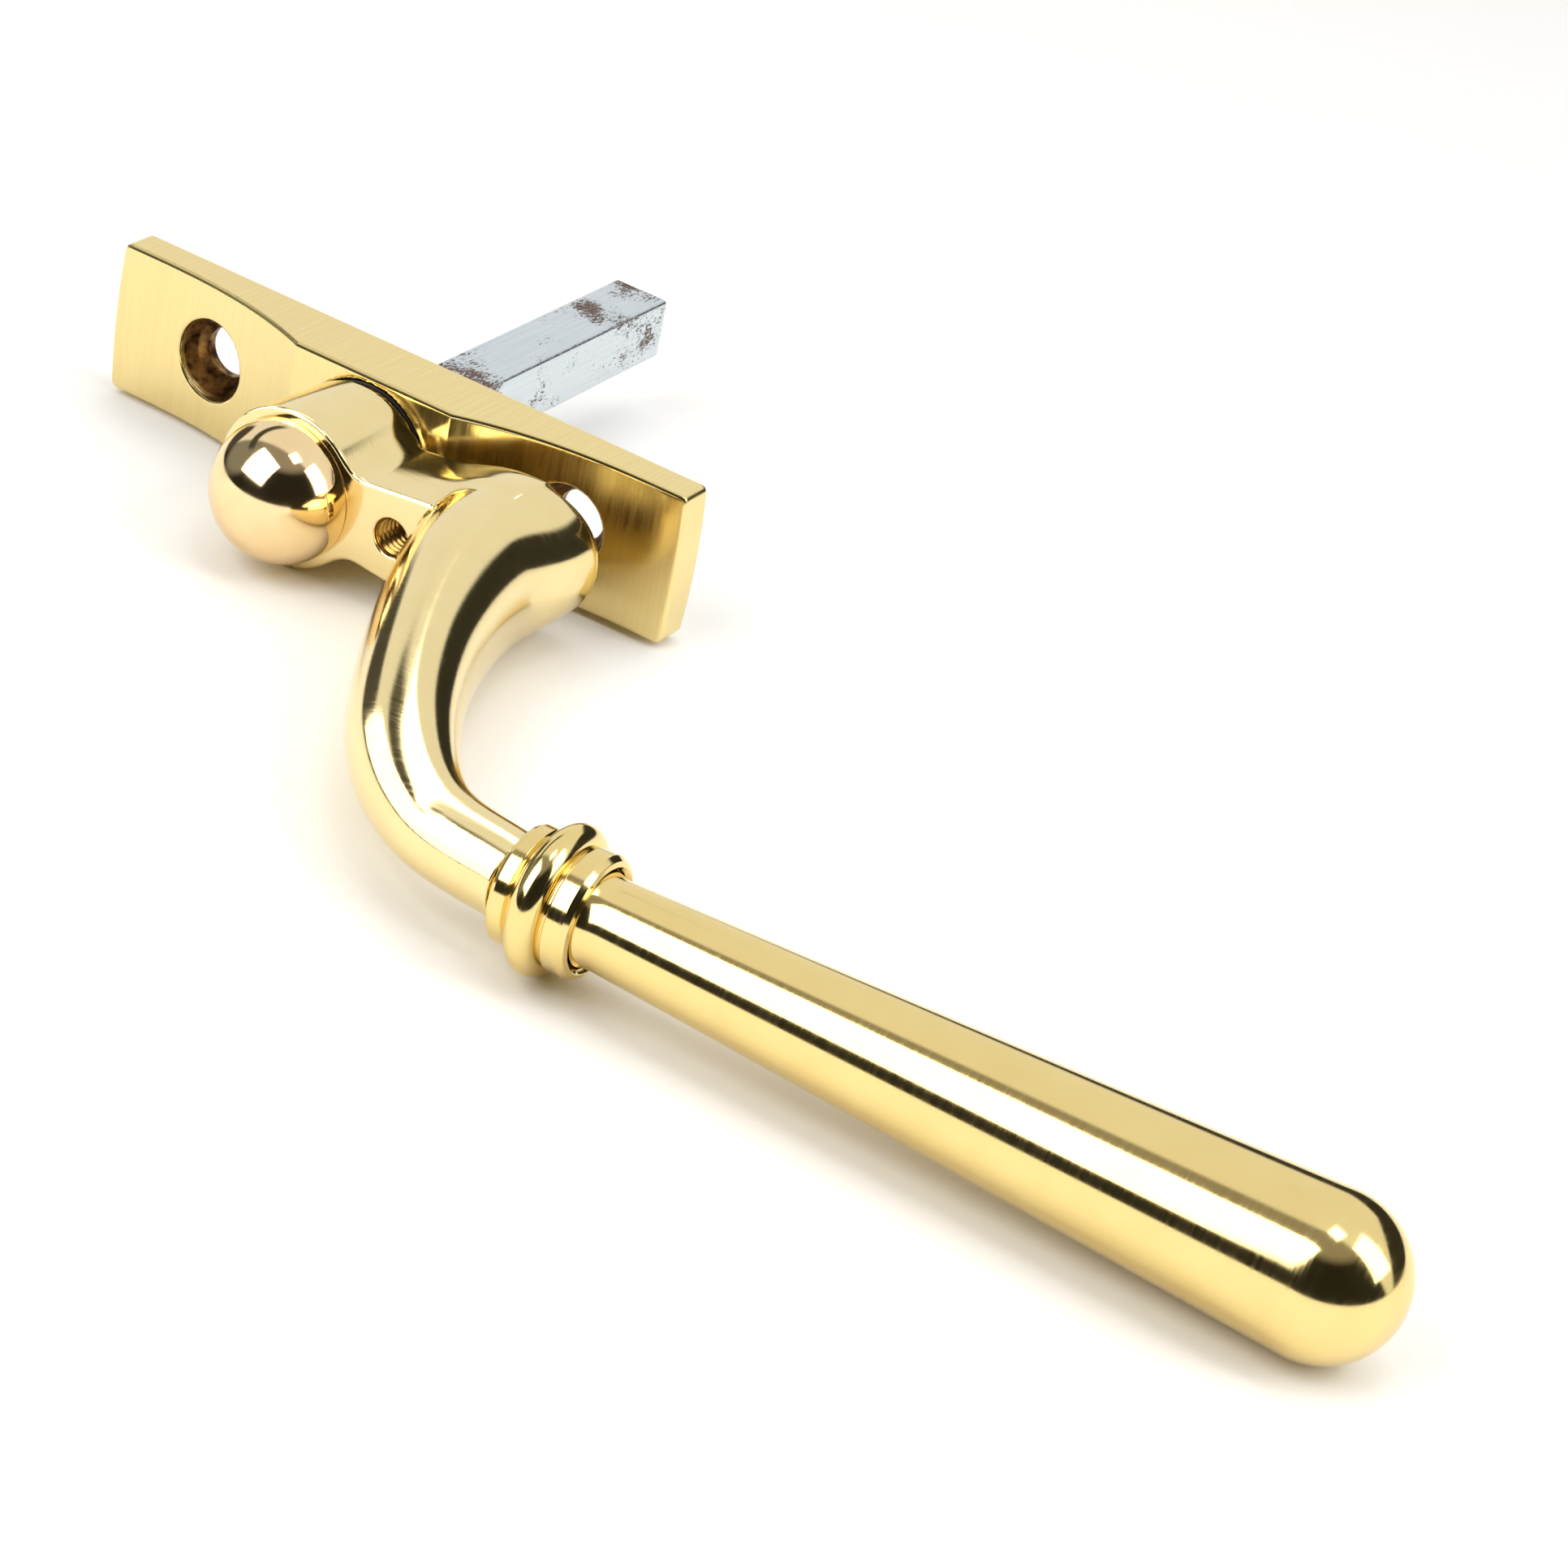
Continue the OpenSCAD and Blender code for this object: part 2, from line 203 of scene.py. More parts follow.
def ground_plate_brass():
    finish, tree, place = new_finish("ground_plate_brass")
    along = add(tree, "ShaderNodeVectorMath",
            {0: place, 1: (per_mm(0.3), per_mm(9.0), per_mm(9.0))}, operation="MULTIPLY")
    grain = add(tree, "ShaderNodeTexNoise",
            {"Vector": along.outputs[0], "Scale": 1.0, "Detail": 4.0, "Roughness": 0.65})
    waves = add(tree, "ShaderNodeTexNoise", {"Vector": place, "Scale": per_mm(9.0), "Detail": 1.0})
    cloud = add(tree, "ShaderNodeTexNoise", {"Vector": place, "Scale": per_mm(1.3), "Detail": 6.0})
    mirrored = add(tree, "ShaderNodeVectorMath", {0: place}, operation="ABSOLUTE")
    from_hole = add(tree, "ShaderNodeVectorMath",
            {0: mirrored.outputs[0], 1: (fixing_hole_x * MM, 0, 0)}, operation="SUBTRACT")
    flat = add(tree, "ShaderNodeVectorMath", {0: from_hole.outputs[0], 1: (1, 0, 1)}, operation="MULTIPLY")
    radius = add(tree, "ShaderNodeVectorMath", {0: flat.outputs[0]}, operation="LENGTH")
    inside = add(tree, "ShaderNodeMapRange", {"Value": radius.outputs["Value"],
                                              "From Min": (dish_radius + 0.05) * MM,
                                              "From Max": (dish_radius - 0.15) * MM},
                                              interpolation_type="SMOOTHSTEP")
    depth = add(tree, "ShaderNodeSeparateXYZ", {0: place}).outputs["Y"]
    off_back = add(tree, "ShaderNodeMapRange", {"Value": depth, "From Min": -0.05 * MM, "From Max": -0.25 * MM})
    dished = add(tree, "ShaderNodeMath",
            {0: inside.outputs["Result"], 1: off_back.outputs["Result"]}, operation="MULTIPLY")
    blotch = add(tree, "ShaderNodeMapRange", {"Value": cloud.outputs["Fac"], "From Min": 0.34, "From Max": 0.74})
    tarnish = add(tree, "ShaderNodeMix",
            {"Factor": blotch.outputs["Result"], 6: linear("#4a2a1b"), 7: linear("#cda468")}, data_type="RGBA")
    bright = add(tree, "ShaderNodeMix",
            {"Factor": grain.outputs["Fac"], 6: linear("#f5df9f"), 7: linear("#ead392")}, data_type="RGBA")
    colour = add(tree, "ShaderNodeMix",
            {"Factor": dished.outputs[0], 6: bright.outputs[2], 7: tarnish.outputs[2]}, data_type="RGBA")
    sheen = add(tree, "ShaderNodeMapRange",
            {"Value": grain.outputs["Fac"], "From Min": 0.3, "From Max": 0.7, "To Min": 0.15, "To Max": 0.27})
    rough = add(tree, "ShaderNodeMix", {"Factor": dished.outputs[0], 2: sheen.outputs["Result"], 3: 0.42})
    deep = add(tree, "ShaderNodeBump", {"Height": waves.outputs["Fac"], "Distance": 0.012 * MM, "Strength": 1.0})
    fine = add(tree, "ShaderNodeBump", {"Height": grain.outputs["Fac"], "Distance": 0.003 * MM, "Strength": 1.0,
                                        "Normal": deep.outputs["Normal"]})
    metal = add(tree, "ShaderNodeBsdfPrincipled",
            {"Base Color": colour.outputs[2], "Metallic": 1.0, "Roughness": rough.outputs[0]})
    coat(tree, metal, fine)
    return finish


plate_brass = ground_plate_brass()
print("made", plate_brass.name)

# %% [markdown]
# ## Turned bronze for the dome
# The little dome that caps the turning hub is a different alloy with more copper, so it is pinker than the brass
# round it. It was turned in a lathe and only flashed on the mop, which leaves very fine rings about its axis. A
# wave texture in rings about Y would be too regular, so noise is stretched over the distance from the axis.

# %% Dome finish
def turned_bronze():
    finish, tree, place = new_finish("turned_pale_bronze")
    across = add(tree, "ShaderNodeVectorMath", {0: place, 1: (1, 0, 1)}, operation="MULTIPLY")
    radius = add(tree, "ShaderNodeVectorMath", {0: across.outputs[0]}, operation="LENGTH")
    depth = add(tree, "ShaderNodeSeparateXYZ", {0: place})
    ring_place = add(tree, "ShaderNodeCombineXYZ", {0: radius.outputs["Value"], 1: depth.outputs["Y"]})
    rings = add(tree, "ShaderNodeTexNoise", {"Vector": ring_place.outputs[0], "Scale": per_mm(0.3), "Detail": 2.0})
    bloom = add(tree, "ShaderNodeTexNoise", {"Vector": place, "Scale": per_mm(2.5), "Detail": 4.0})
    colour = add(tree, "ShaderNodeMix",
            {"Factor": bloom.outputs["Fac"], 6: linear("#f7dfae"), 7: linear("#f0d09c")}, data_type="RGBA")
    gloss = add(tree, "ShaderNodeMapRange",
            {"Value": bloom.outputs["Fac"], "From Min": 0.3, "From Max": 0.7, "To Min": 0.06, "To Max": 0.13})
    fine = add(tree, "ShaderNodeBump", {"Height": rings.outputs["Fac"], "Distance": 0.0012 * MM, "Strength": 1.0})
    metal = add(tree, "ShaderNodeBsdfPrincipled",
            {"Base Color": colour.outputs[2], "Metallic": 1.0, "Roughness": gloss.outputs["Result"]})
    coat(tree, metal, fine)
    return finish


dome_bronze = turned_bronze()
print("made", dome_bronze.name)

# %% [markdown]
# ## Zinc-plated steel for the square bar
# The bar is cold-drawn mild steel with a thin bright zinc plating. Zinc looks blue-grey and satin. Where the bar
# has been pushed through other parts the plating is scuffed off in short patches that have gone rusty brown. The
# patches are noise that is stretched along the bar and cut off high, so that only the peaks show. The drawn corners
# are also darker, in a thin ragged line of the same brown.

# %% Bar finish
def zinc_plate():
    finish, tree, place = new_finish("zinc_plated_steel")
    stretched = add(tree, "ShaderNodeVectorMath",
            {0: place, 1: (per_mm(0.32), per_mm(0.7), per_mm(0.32))}, operation="MULTIPLY")
    flecks = add(tree, "ShaderNodeTexNoise",
            {"Vector": stretched.outputs[0], "Scale": 1.0, "Detail": 8.0, "Roughness": 0.75})
    clusters = add(tree, "ShaderNodeTexNoise", {"Vector": place, "Scale": per_mm(7.0), "Detail": 2.0})
    together = add(tree, "ShaderNodeMath", {0: flecks.outputs["Fac"], 1: clusters.outputs["Fac"]}, operation="ADD")
    patches = add(tree, "ShaderNodeMapRange",
            {"Value": together.outputs[0], "From Min": 1.07, "From Max": 1.16}, interpolation_type="SMOOTHSTEP")
    sides = add(tree, "ShaderNodeVectorMath", {0: place}, operation="ABSOLUTE")
    side = add(tree, "ShaderNodeSeparateXYZ", {0: sides.outputs[0]})
    to_edge = add(tree, "ShaderNodeMath", {0: side.outputs["X"], 1: side.outputs["Z"]}, operation="MINIMUM")
    ragged = add(tree, "ShaderNodeMath",
            {0: flecks.outputs["Fac"], 1: 0.7 * MM, 2: to_edge.outputs[0]}, operation="MULTIPLY_ADD")
    # The drawn corners are made darker, duller and less metallic along a thin ragged line, like the scuffed
    # patches.
    dark_corner_line = add(tree, "ShaderNodeMapRange",
            {"Value": ragged.outputs[0], "From Min": 3.68 * MM, "From Max": 3.76 * MM},
            interpolation_type="SMOOTHSTEP")
    scuffs_and_dark_corners = add(tree, "ShaderNodeMath",
            {0: patches.outputs["Result"], 1: dark_corner_line.outputs["Result"]}, operation="MAXIMUM")
    drawn = add(tree, "ShaderNodeVectorMath",
            {0: place, 1: (per_mm(0.2), per_mm(9.0), per_mm(0.2))}, operation="MULTIPLY")
    lines = add(tree, "ShaderNodeTexNoise", {"Vector": drawn.outputs[0], "Scale": 1.0, "Detail": 2.0})
    plating = add(tree, "ShaderNodeMix",
            {"Factor": lines.outputs["Fac"], 6: linear("#c3ccd2"), 7: linear("#dfe5e9")}, data_type="RGBA")
    colour = add(tree, "ShaderNodeMix",
            {"Factor": scuffs_and_dark_corners.outputs[0], 6: plating.outputs[2], 7: linear("#5b463c")}, data_type="RGBA")
    shine = add(tree, "ShaderNodeMix", {"Factor": scuffs_and_dark_corners.outputs[0], 2: 1.0, 3: 0.25})
    rough = add(tree, "ShaderNodeMix", {"Factor": scuffs_and_dark_corners.outputs[0], 2: 0.27, 3: 0.6})
    fine = add(tree, "ShaderNodeBump", {"Height": lines.outputs["Fac"], "Distance": 0.004 * MM, "Strength": 1.0})
    pits = add(tree, "ShaderNodeBump", {"Height": scuffs_and_dark_corners.outputs[0], "Distance": 0.02 * MM, "Strength": 1.0,
                                        "Normal": fine.outputs["Normal"]}, invert=True)
    metal = add(tree, "ShaderNodeBsdfPrincipled",
            {"Base Color": colour.outputs[2], "Metallic": shine.outputs[0], "Roughness": rough.outputs[0]})
    coat(tree, metal, pits)
    return finish


zinc = zinc_plate()
print("made", zinc.name)

# %% [markdown]
# ## Oiled spring steel and moulded nylon
# Behind the plate sit the parts that hold and centre the lever. The washers, the ring and the pins are hardened
# steel with a thin film of oil, dark and satin. The bush is moulded acetal or nylon, which is black with a fine
# spark-eroded texture. Both are plain, but a little noise in the gloss stops them from looking like paint.

# %% Hidden finishes
def oiled_steel():
    finish, tree, place = new_finish("oiled_spring_steel")
    smear = add(tree, "ShaderNodeTexNoise", {"Vector": place, "Scale": per_mm(1.5), "Detail": 5.0})
    colour = add(tree, "ShaderNodeMix",
            {"Factor": smear.outputs["Fac"], 6: linear("#6c6f73"), 7: linear("#93969a")}, data_type="RGBA")
    gloss = add(tree, "ShaderNodeMapRange", {"Value": smear.outputs["Fac"], "To Min": 0.22, "To Max": 0.48})
    metal = add(tree, "ShaderNodeBsdfPrincipled",
            {"Base Color": colour.outputs[2], "Metallic": 1.0, "Roughness": gloss.outputs["Result"]})
    coat(tree, metal)
    return finish


def moulded_nylon():
    finish, tree, place = new_finish("moulded_black_nylon")
    spark = add(tree, "ShaderNodeTexNoise", {"Vector": place, "Scale": per_mm(0.25), "Detail": 3.0})
    colour = add(tree, "ShaderNodeMix",
            {"Factor": spark.outputs["Fac"], 6: linear("#15161a"), 7: linear("#26272c")}, data_type="RGBA")
    grain = add(tree, "ShaderNodeBump", {"Height": spark.outputs["Fac"], "Distance": 0.01 * MM, "Strength": 1.0})
    nylon = add(tree, "ShaderNodeBsdfPrincipled", {"Base Color": colour.outputs[2], "Roughness": 0.45, "IOR": 1.53})
    coat(tree, nylon, grain)
    return finish


spring_steel, nylon = oiled_steel(), moulded_nylon()
hidden_finish = {"plate_bush": nylon, "spring_washer": spring_steel, "thrust_washer": spring_steel,
                 "snap_ring": spring_steel, "spindle_pin": spring_steel, "grip_stud": spring_steel}
for node_name, finish in hidden_finish.items():
    cad_mesh = bpy.data.objects[node_name].data
    cad_mesh.materials.clear()
    cad_mesh.materials.append(finish)
print("finished", len(hidden_finish), "hidden pieces")

# %% [markdown]
# ## Drawing a casting as a field
# A casting has no sharp joins: hub, web and neck run together in fillets. Booleans leave hard seams, and a voxel
# remesh leaves ripples that a mirror finish would shout about. So each casting is written as a signed distance: a
# function that is negative inside the metal and positive outside. Two shapes are joined with a smooth minimum,
# which is a fillet, and cut with a smooth maximum, which is a worn edge. The surface is where the function is zero.

# %% Smooth joins and cuts
def fillet(a, b, size):
    """Join two fields with a fillet about this size in millimetres."""
    h = np.clip(0.5 + 0.5 * (b - a) / size, 0.0, 1.0)
    return b + (a - b) * h - size * h * (1.0 - h)


def trim(a, b, size):
    """Keep what lies in both fields, with an edge worn by about this size."""
    return -fillet(-a, -b, size)


def smooth_step(low, high, value):
    u = np.clip((value - low) / (high - low), 0.0, 1.0)
    return u * u * (3.0 - 2.0 * u)


print("a 2 mm fillet in a square corner lifts it by", round(float(-fillet(0.0, 0.0, 2.0)), 2), "mm")

# %% [markdown]
# ## From field to mesh
# The zero surface is found in two passes, so that it is quick. A coarse pass finds the blocks of space that the
# surface crosses, and a fine pass samples only those. Every fine cell that the surface crosses gets one vertex, and
# every grid edge that crosses it gets one quad, which is the surface-nets method. Each vertex is then slid down the
# field's slope until it sits on the surface, and the slope itself is stored as its shading normal. That makes
# reflections as smooth as the function, whatever the size of the cells.

# %% Field to mesh
def slope(field, points, reach=0.02):
    """The gradient of a field, by central differences."""
    steps = []
    for axis in range(3):
        shift = np.zeros(3)
        shift[axis] = reach
        steps.append((field(points + shift) - field(points - shift)) / (2 * reach))
    return np.stack(steps, axis=1)


def sample(field, low, high, cell, block=6):
    """Field values on a grid. Blocks away from the surface only keep the sign at their middle."""
    count = np.ceil((high - low) / (cell * block)).astype(int)
    middles = low + (np.stack(np.meshgrid(*[np.arange(n) for n in count], indexing="ij"), -1) + 0.5) * cell * block
    coarse = field(middles.reshape(-1, 3)).reshape(count)
    grid = np.repeat(np.repeat(np.repeat(coarse, block, 0), block, 1), block, 2)
    near = np.argwhere(np.abs(coarse) < 1.25 * cell * block)
    inner = np.stack(np.meshgrid(*[np.arange(block)] * 3, indexing="ij"), -1).reshape(-1, 3)
    for part in np.array_split(near, max(1, len(near) // 2000)):
        spots = (part[:, None, :] * block + inner[None]).reshape(-1, 3)
        grid[tuple(spots.T)] = field(low + spots * cell)
    return grid


def net(grid):
    """One vertex for each crossed cell and one quad for each crossed edge."""
    inside = grid < 0
    corners = [(i, j, k) for i in (0, 1) for j in (0, 1) for k in (0, 1)]
    size = np.array(grid.shape) - 1

    def at(array, c):
        return array[c[0]:c[0] + size[0], c[1]:c[1] + size[1], c[2]:c[2] + size[2]]

    total = sum(at(inside, c).astype(np.int8) for c in corners)
    cells = np.argwhere((total > 0) & (total < 8))
    number = np.full(size, -1, dtype=np.int64)
    number[tuple(cells.T)] = np.arange(len(cells))
    place = np.zeros((len(cells), 3))
    hits = np.zeros(len(cells))
    for a in corners:
        for axis in range(3):
            if a[axis]:
                continue
            b = tuple(v + (i == axis) for i, v in enumerate(a))
            fa, fb = grid[tuple((cells + a).T)], grid[tuple((cells + b).T)]
            cross = (fa < 0) != (fb < 0)
            t = np.where(cross, fa / np.where(cross, fa - fb, 1.0), 0.0)
            spot = np.array(a, float) + t[:, None] * np.eye(3)[axis]
            place += np.where(cross[:, None], spot, 0.0)
            hits += cross
    vertices = cells + place / hits[:, None]
    quads = []
    for axis in range(3):
        u, v = (axis + 1) % 3, (axis + 2) % 3
        first = np.moveaxis(inside, (axis, u, v), (0, 1, 2))
        crossed = np.argwhere(first[:-1, 1:-1, 1:-1] != first[1:, 1:-1, 1:-1]) + (0, 1, 1)
        starts_in = first[tuple(crossed.T)]
        ring = []
        for du, dv in ((-1, -1), (0, -1), (0, 0), (-1, 0)):
            index = np.empty_like(crossed)
            index[:, axis], index[:, u], index[:, v] = crossed[:, 0], crossed[:, 1] + du, crossed[:, 2] + dv
            ring.append(number[tuple(index.T)])
        ring = np.stack(ring, axis=1)
        quads.append(np.where(starts_in[:, None], ring, ring[:, ::-1]))
    return vertices, np.concatenate(quads)


def show(name, vertices, faces, normals, finish, body, *nodes):
    """A mesh object with its own shading normals, riding on a body and standing for CAD nodes."""
    mesh = bpy.data.meshes.new(name)
    mesh.from_pydata((np.asarray(vertices) * MM).tolist(), [], [list(map(int, f)) for f in faces])
    mesh.polygons.foreach_set("use_smooth", [True] * len(mesh.polygons))
    mesh.normals_split_custom_set_from_vertices(np.asarray(normals).tolist())
    mesh.materials.append(finish)
    piece = bpy.data.objects.new(name, mesh)
    bpy.context.collection.objects.link(piece)
    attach(piece, body)
    if nodes:
        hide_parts(*nodes)
    print(name, len(mesh.vertices), "vertices,", len(mesh.polygons), "faces")
    return piece


def cast(name, field, low, high, cell, finish, body, node):
    """Mesh a field, slide it on to its zero surface, and show it."""
    low, high = np.array(low, float) - 2 * cell, np.array(high, float) + 8 * cell
    vertices, quads = net(sample(field, low, high, cell))
    points = low + vertices * cell
    for _ in range(3):
        g = slope(field, points)
        step = field(points) / np.maximum((g * g).sum(1), 0.05)
        points -= np.clip(step, -0.5 * cell, 0.5 * cell)[:, None] * g
    normals = slope(field, points)
    normals /= np.linalg.norm(normals, axis=1)[:, None]
    return show(name, points, quads, normals, finish, body, node)


cell_mm = 0.25
print("castings are sampled every", cell_mm, "mm")

# %% [markdown]
# ## The back plate
# The plate is a small brass bar, thin at its ends and swelling to a flat boss round the hub. Its ends are very
# slightly bowed. As a field it is a slab whose front face follows the swell, trimmed by the sides, the back and the
# bowed ends. The countersunk dishes and the bearing bore are cut out of it. The mop has rounded its ends by about
# 0.8 mm, its long front edges by 0.5 mm and the lips of the dishes by 0.35 mm. The back edges stay crisp, at a
# quarter of a millimetre.

# %% Plate field and mesh
half_length = plate_high[0]
half_height = plate_high[2]
boss_front = -plate_low[1]
end_thickness = 4.1
boss_half = 9.9
sweep_end = 33.0
end_bow = 90.0


def plate_face(x):
    """How far the front face stands off the window at this x."""
    u = np.clip((sweep_end - np.abs(x)) / (sweep_end - boss_half), 0.0, 1.0)
    return end_thickness + (boss_front - end_thickness) * u ** 2.5


def plate_field(p):
    x, y, z = p[:, 0], p[:, 1], p[:, 2]
    front = (-plate_face(x) - y) * 0.92
    ends = np.hypot(np.abs(x) + end_bow - half_length, z) - end_bow
    slab = trim(trim(trim(np.abs(z) - half_height, ends, 0.8), front, 0.5), y, 0.25)
    from_hole = np.hypot(np.abs(x) - fixing_hole_x, z)
    dish = from_hole - np.interp(y, [-3.7, -2.1, -1.2], [dish_radius, 3.6, 2.75])
    from_axis = np.hypot(x, z)
    bore = from_axis - np.interp(y, [-7.65, -7.64, -4.41, -4.4], [7.75, 7.0, 7.0, 7.3])
    return trim(trim(slab, -dish, 0.35), -bore, 0.15)


plate = cast("back_plate_ground", plate_field, plate_low, plate_high, cell_mm, plate_brass, "plate", "back_plate")

# %% [markdown]
# ## The line of the neck
# From the web, the lever drops away from the window, curls round in a C and comes out level under the grip. A
# smooth curve is drawn through seven stations, each with its place, its width in the plane of the curl and its half
# height. The stations are the CAD model's own. A short running average over the samples takes the last kinks out of
# the curvature, because a mirror shows a jump in curvature as a kink in its highlights.

# %% Neck centre line
grip_lean = math.radians(1.52)
grip_axis_y = -63.93
neck_x = [22.6, 22.7, 23.8, 29.4, 37.4, 46.9, 57.8]
neck_y = [-9.9, -12.6, -23.2, -38.0, -51.8, -60.3, -62.4]
neck_wide = [8.3, 8.3, 7.0, 5.8, 5.3, 4.4, 4.1]
neck_tall = [6.5, 7.4, 7.8, 7.0, 5.8, 4.4, 4.1]


def flowing(values, samples=2400, soften=60):
    """A smooth run through evenly numbered stations, sampled finely and softened."""
    v = np.concatenate([[2 * values[0] - values[1]], values, [2 * values[-1] - values[-2]]])
    t = np.linspace(0, len(values) - 1, samples)
    i = np.minimum(t.astype(int), len(values) - 2)
    u = t - i
    a, b, c, d = v[i], v[i + 1], v[i + 2], v[i + 3]
    run = b + 0.5 * u * (c - a + u * (2 * a - 5 * b + 4 * c - d + u * (3 * (b - c) + d - a)))
    weight = np.hanning(2 * soften + 3)
    head = 2 * run[0] - run[soften + 1:0:-1]
    tail = 2 * run[-1] - run[-2:-soften - 3:-1]
    return np.convolve(np.concatenate([head, run, tail]), weight / weight.sum(), "valid")


line = np.stack([flowing(neck_x), flowing(neck_y)], axis=1)
ways = np.gradient(line, axis=0)
ways /= np.linalg.norm(ways, axis=1)[:, None]
wide, tall = flowing(neck_wide), flowing(neck_tall)
bulge = flowing([2.2, 2.2, 2.15, 2.1, 2.05, 2.0, 2.0])
print("neck line is", round(float(np.linalg.norm(np.diff(line, axis=0), axis=1).sum()), 1), "mm long")

# %% [markdown]
# ## Finding the nearest point of the line
# To know how far a point in space is from the neck, its nearest point on the line must be known. The line lies in
# one plane, so the answer depends only on x and y. It is worked out once on a fine sheet of that plane and then
# read off by interpolation, which is far quicker than searching for every point of a fine grid.

# %% Nearest-station sheet
sheet_cell = 0.25
sheet_low = np.array([-14.0, -74.0])
sheet_size = np.ceil((np.array([70.0, 6.0]) - sheet_low) / sheet_cell).astype(int)


def nearest_station(xy):
    """Sample number of the nearest point of the line, as a fraction."""
    rough = line[::20]
    best = np.concatenate([np.argmin(((part[:, None] - rough) ** 2).sum(-1), 1)
                           for part in np.array_split(xy, 60)]) * 20.0
    spacing = np.linalg.norm(np.gradient(line, axis=0), axis=1)
    for _ in range(10):
        i = np.clip(np.rint(best).astype(int), 0, len(line) - 1)
        best = np.clip(i + ((xy - line[i]) * ways[i]).sum(1) / spacing[i], 0, len(line) - 1)
    return best


sheet_xy = np.stack(np.meshgrid(*[np.arange(n) for n in sheet_size], indexing="ij"), -1) * sheet_cell + sheet_low
sheet = nearest_station(sheet_xy.reshape(-1, 2)).reshape(sheet_size)
print("sheet of", sheet.size, "places")

# %% [markdown]
# ## The lever casting
# The casting is four shapes in one piece: the turning hub, a flat web that stands out from it, the curling neck,
# and the round tail that passes through the plate. The hub narrows a little towards the window and ends in a foot
# that is set back, which shows as a thin shadow line. Hub and web share one flat front face, so they are joined
# first with a generous fillet and then faced off together. The neck meets that face at a crisp line, where the file
# has been, but flows into the sides of the web lower down, so its fillet grows with depth. The backs of web and
# neck are then faced off together, clear of the hub, so that no fillet leaves a groove there. Last come the holes.

# %% Lever field and mesh
hub_front = 21.0
hub_r = 8.6
hub_narrowing = 0.05
foot_r = 7.5
web_half, web_spread = 3.6, 0.107
web_fillet = 2.2
tail_r, groove_r = 6.0, 5.5
tenon_r, stud_hole_r = 3.18, 2.01
spigot_hole_r = 3.02
pin_y, pin_hole_r = -6.3, 1.01
hub_shoulder = 9.5
hub_foot = 8.5
web_back = 9.9
hub_clear = 9.2
web_reach = 22.5
socket_half = 3.52
socket_end = 14.2
screw_hole_x = 13.1
thread_major = 2.0


def neck_field(x, y, z):
    """Distance from the neck, cut off flat at the heel and square to the grip."""
    spot = (np.stack([x, y], 1) - sheet_low) / sheet_cell
    i = np.clip(np.floor(spot).astype(int), 0, sheet_size - 2)
    f = np.clip(spot - i, 0.0, 1.0)
    t = ((sheet[i[:, 0], i[:, 1]] * (1 - f[:, 0]) + sheet[i[:, 0] + 1, i[:, 1]] * f[:, 0]) * (1 - f[:, 1])
         + (sheet[i[:, 0], i[:, 1] + 1] * (1 - f[:, 0]) + sheet[i[:, 0] + 1, i[:, 1] + 1] * f[:, 0]) * f[:, 1])
    n = np.arange(len(line))
    cx, cy, wx, wy = (np.interp(t, n, run) for run in (line[:, 0], line[:, 1], ways[:, 0], ways[:, 1]))
    w, h, e = np.interp(t, n, wide), np.interp(t, n, tall), np.interp(t, n, bulge)
    across = np.abs((x - cx) * wy - (y - cy) * wx)
    k = ((across / w) ** e + (np.abs(z) / h) ** e) ** (1 / e)
    side = np.hypot(across, z) * (1.0 - 1.0 / np.maximum(k, 1e-3))
    past_end = (x - line[-1, 0]) * ways[-1, 0] + (y - line[-1, 1]) * ways[-1, 1]
    return trim(trim(side, y + web_back, 0.5), past_end, 0.2)


def lever_field(p):
    x, y, z = p[:, 0], p[:, 1], p[:, 2]
    from_axis = np.hypot(x, z)
    hub = trim(from_axis - (hub_r - hub_narrowing * (y + hub_front)), y + hub_shoulder, 0.3)
    hub = np.minimum(hub, trim(from_axis - foot_r, y + hub_foot, 0.2))
    web = np.abs(z) - (web_half + web_spread * x)
    web = trim(trim(web, np.maximum(-x, x - web_reach), 0.2), y + web_back, 0.5)
    body = trim(fillet(hub, web, web_fillet), -hub_front - y, 0.45)
    flow = 0.5 + 2.8 * smooth_step(-19.6, -14.5, y)
    body = fillet(body, neck_field(x, y, z), flow)
    body = trim(body, np.minimum(y + web_back, from_axis - hub_clear), 0.4)
    tail = from_axis - np.interp(y, [-2.31, -2.3, -1.4, -1.39], [tail_r, groove_r, groove_r, tail_r])
    body = np.minimum(body, trim(tail, np.abs(y + 4.8) - 4.2, 0.2))
    along = (x * math.cos(grip_lean) + (y - grip_axis_y) * math.sin(grip_lean))
    off = np.hypot((y - grip_axis_y) * math.cos(grip_lean) - x * math.sin(grip_lean), z)
    body = np.minimum(body, np.maximum(off - tenon_r, np.abs(along - 59.2) - 2.8))
    socket = np.maximum(np.maximum(np.abs(x), np.abs(z)) - socket_half, -(y + socket_end))
    cap_bore = np.maximum(from_axis - spigot_hole_r, y + 16.0)
    screw = np.maximum(np.hypot(x - screw_hole_x, z) - thread_major - 0.04, y + web_back - 2.0)
    pin = np.hypot(x, y - pin_y) - pin_hole_r
    stud = np.maximum(off - stud_hole_r, 52.2 - along)
    body = trim(body, -screw, 0.3)
    return np.maximum(body, -np.minimum(np.minimum(socket, cap_bore), np.minimum(pin, stud)))


lever = cast("lever_arm_casting", lever_field, lever_low, lever_high, cell_mm, cast_brass, "lever", "lever_arm")

# %% [markdown]
# ## The tapped hole
# A small locking screw goes into the front of the web. Only its empty hole shows, and a smooth hole would look
# wrong at once, because the thread catches the light. The thread is a separate thin sleeve in the hole: a sheet
# wrapped round the hole's axis, whose radius rises and falls once per pitch and shifts by one pitch per turn, which
# is exactly what a helix is. An M4 coarse thread has a pitch of 0.7 mm.

